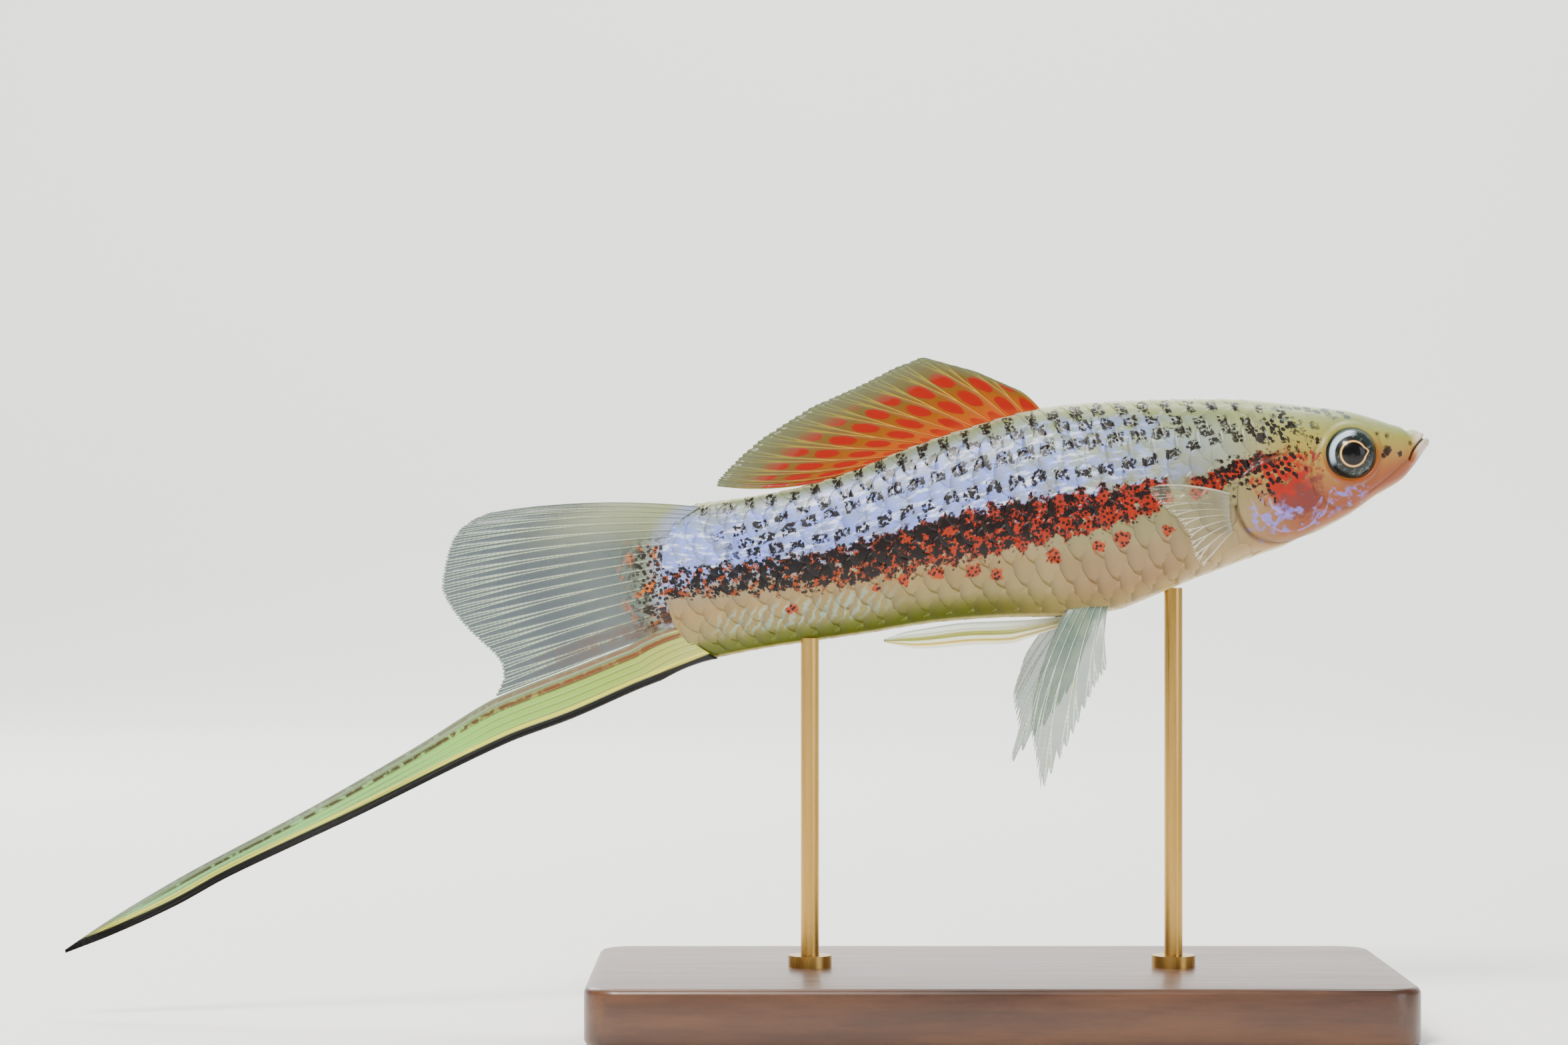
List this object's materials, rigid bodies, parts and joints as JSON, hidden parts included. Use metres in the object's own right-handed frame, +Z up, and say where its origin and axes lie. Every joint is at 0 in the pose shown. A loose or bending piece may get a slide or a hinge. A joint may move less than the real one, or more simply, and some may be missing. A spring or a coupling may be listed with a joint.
{
  "type": "male green swordtail, life-size display model",
  "caption": "Male swordtail fish as a still life-size display model, swimming head-up with its sword trailing, on two rods over a small flat base.",
  "frame": {"origin": "centre of the underside of the display base, on the floor", "axes": "+X towards the fish's head, +Y towards its left side, +Z up"},
  "size_m": [0.1194, 0.034, 0.0581],
  "materials": {
    "fish_skin": "painted fish skin, satin to glossy",
    "fin_membrane": "translucent fin, glossy",
    "sword_membrane": "painted fin, glossy",
    "eye_gloss": "clear glossy cornea over dark iris",
    "base_wood": "dark stained wood, satin lacquer",
    "rod_brass": "satin brass"
  },
  "bodies": {
    "root": {"head": "fish_skin", "lower_jaw": "fish_skin", "gill_cover_right": "fish_skin", "gill_cover_left": "fish_skin", "trunk": "fish_skin", "tail": "fish_skin", "eye_right": "eye_gloss", "eye_left": "eye_gloss", "dorsal_fin": "fin_membrane", "caudal_fin": "fin_membrane", "sword": "sword_membrane", "gonopodium": "fin_membrane", "pectoral_fin_right": "fin_membrane", "pectoral_fin_left": "fin_membrane", "pelvic_fin_right": "fin_membrane", "pelvic_fin_left": "fin_membrane", "stand_base": "base_wood", "stand_rod_front": "rod_brass", "stand_rod_rear": "rod_brass"}
  },
  "joints": []
}
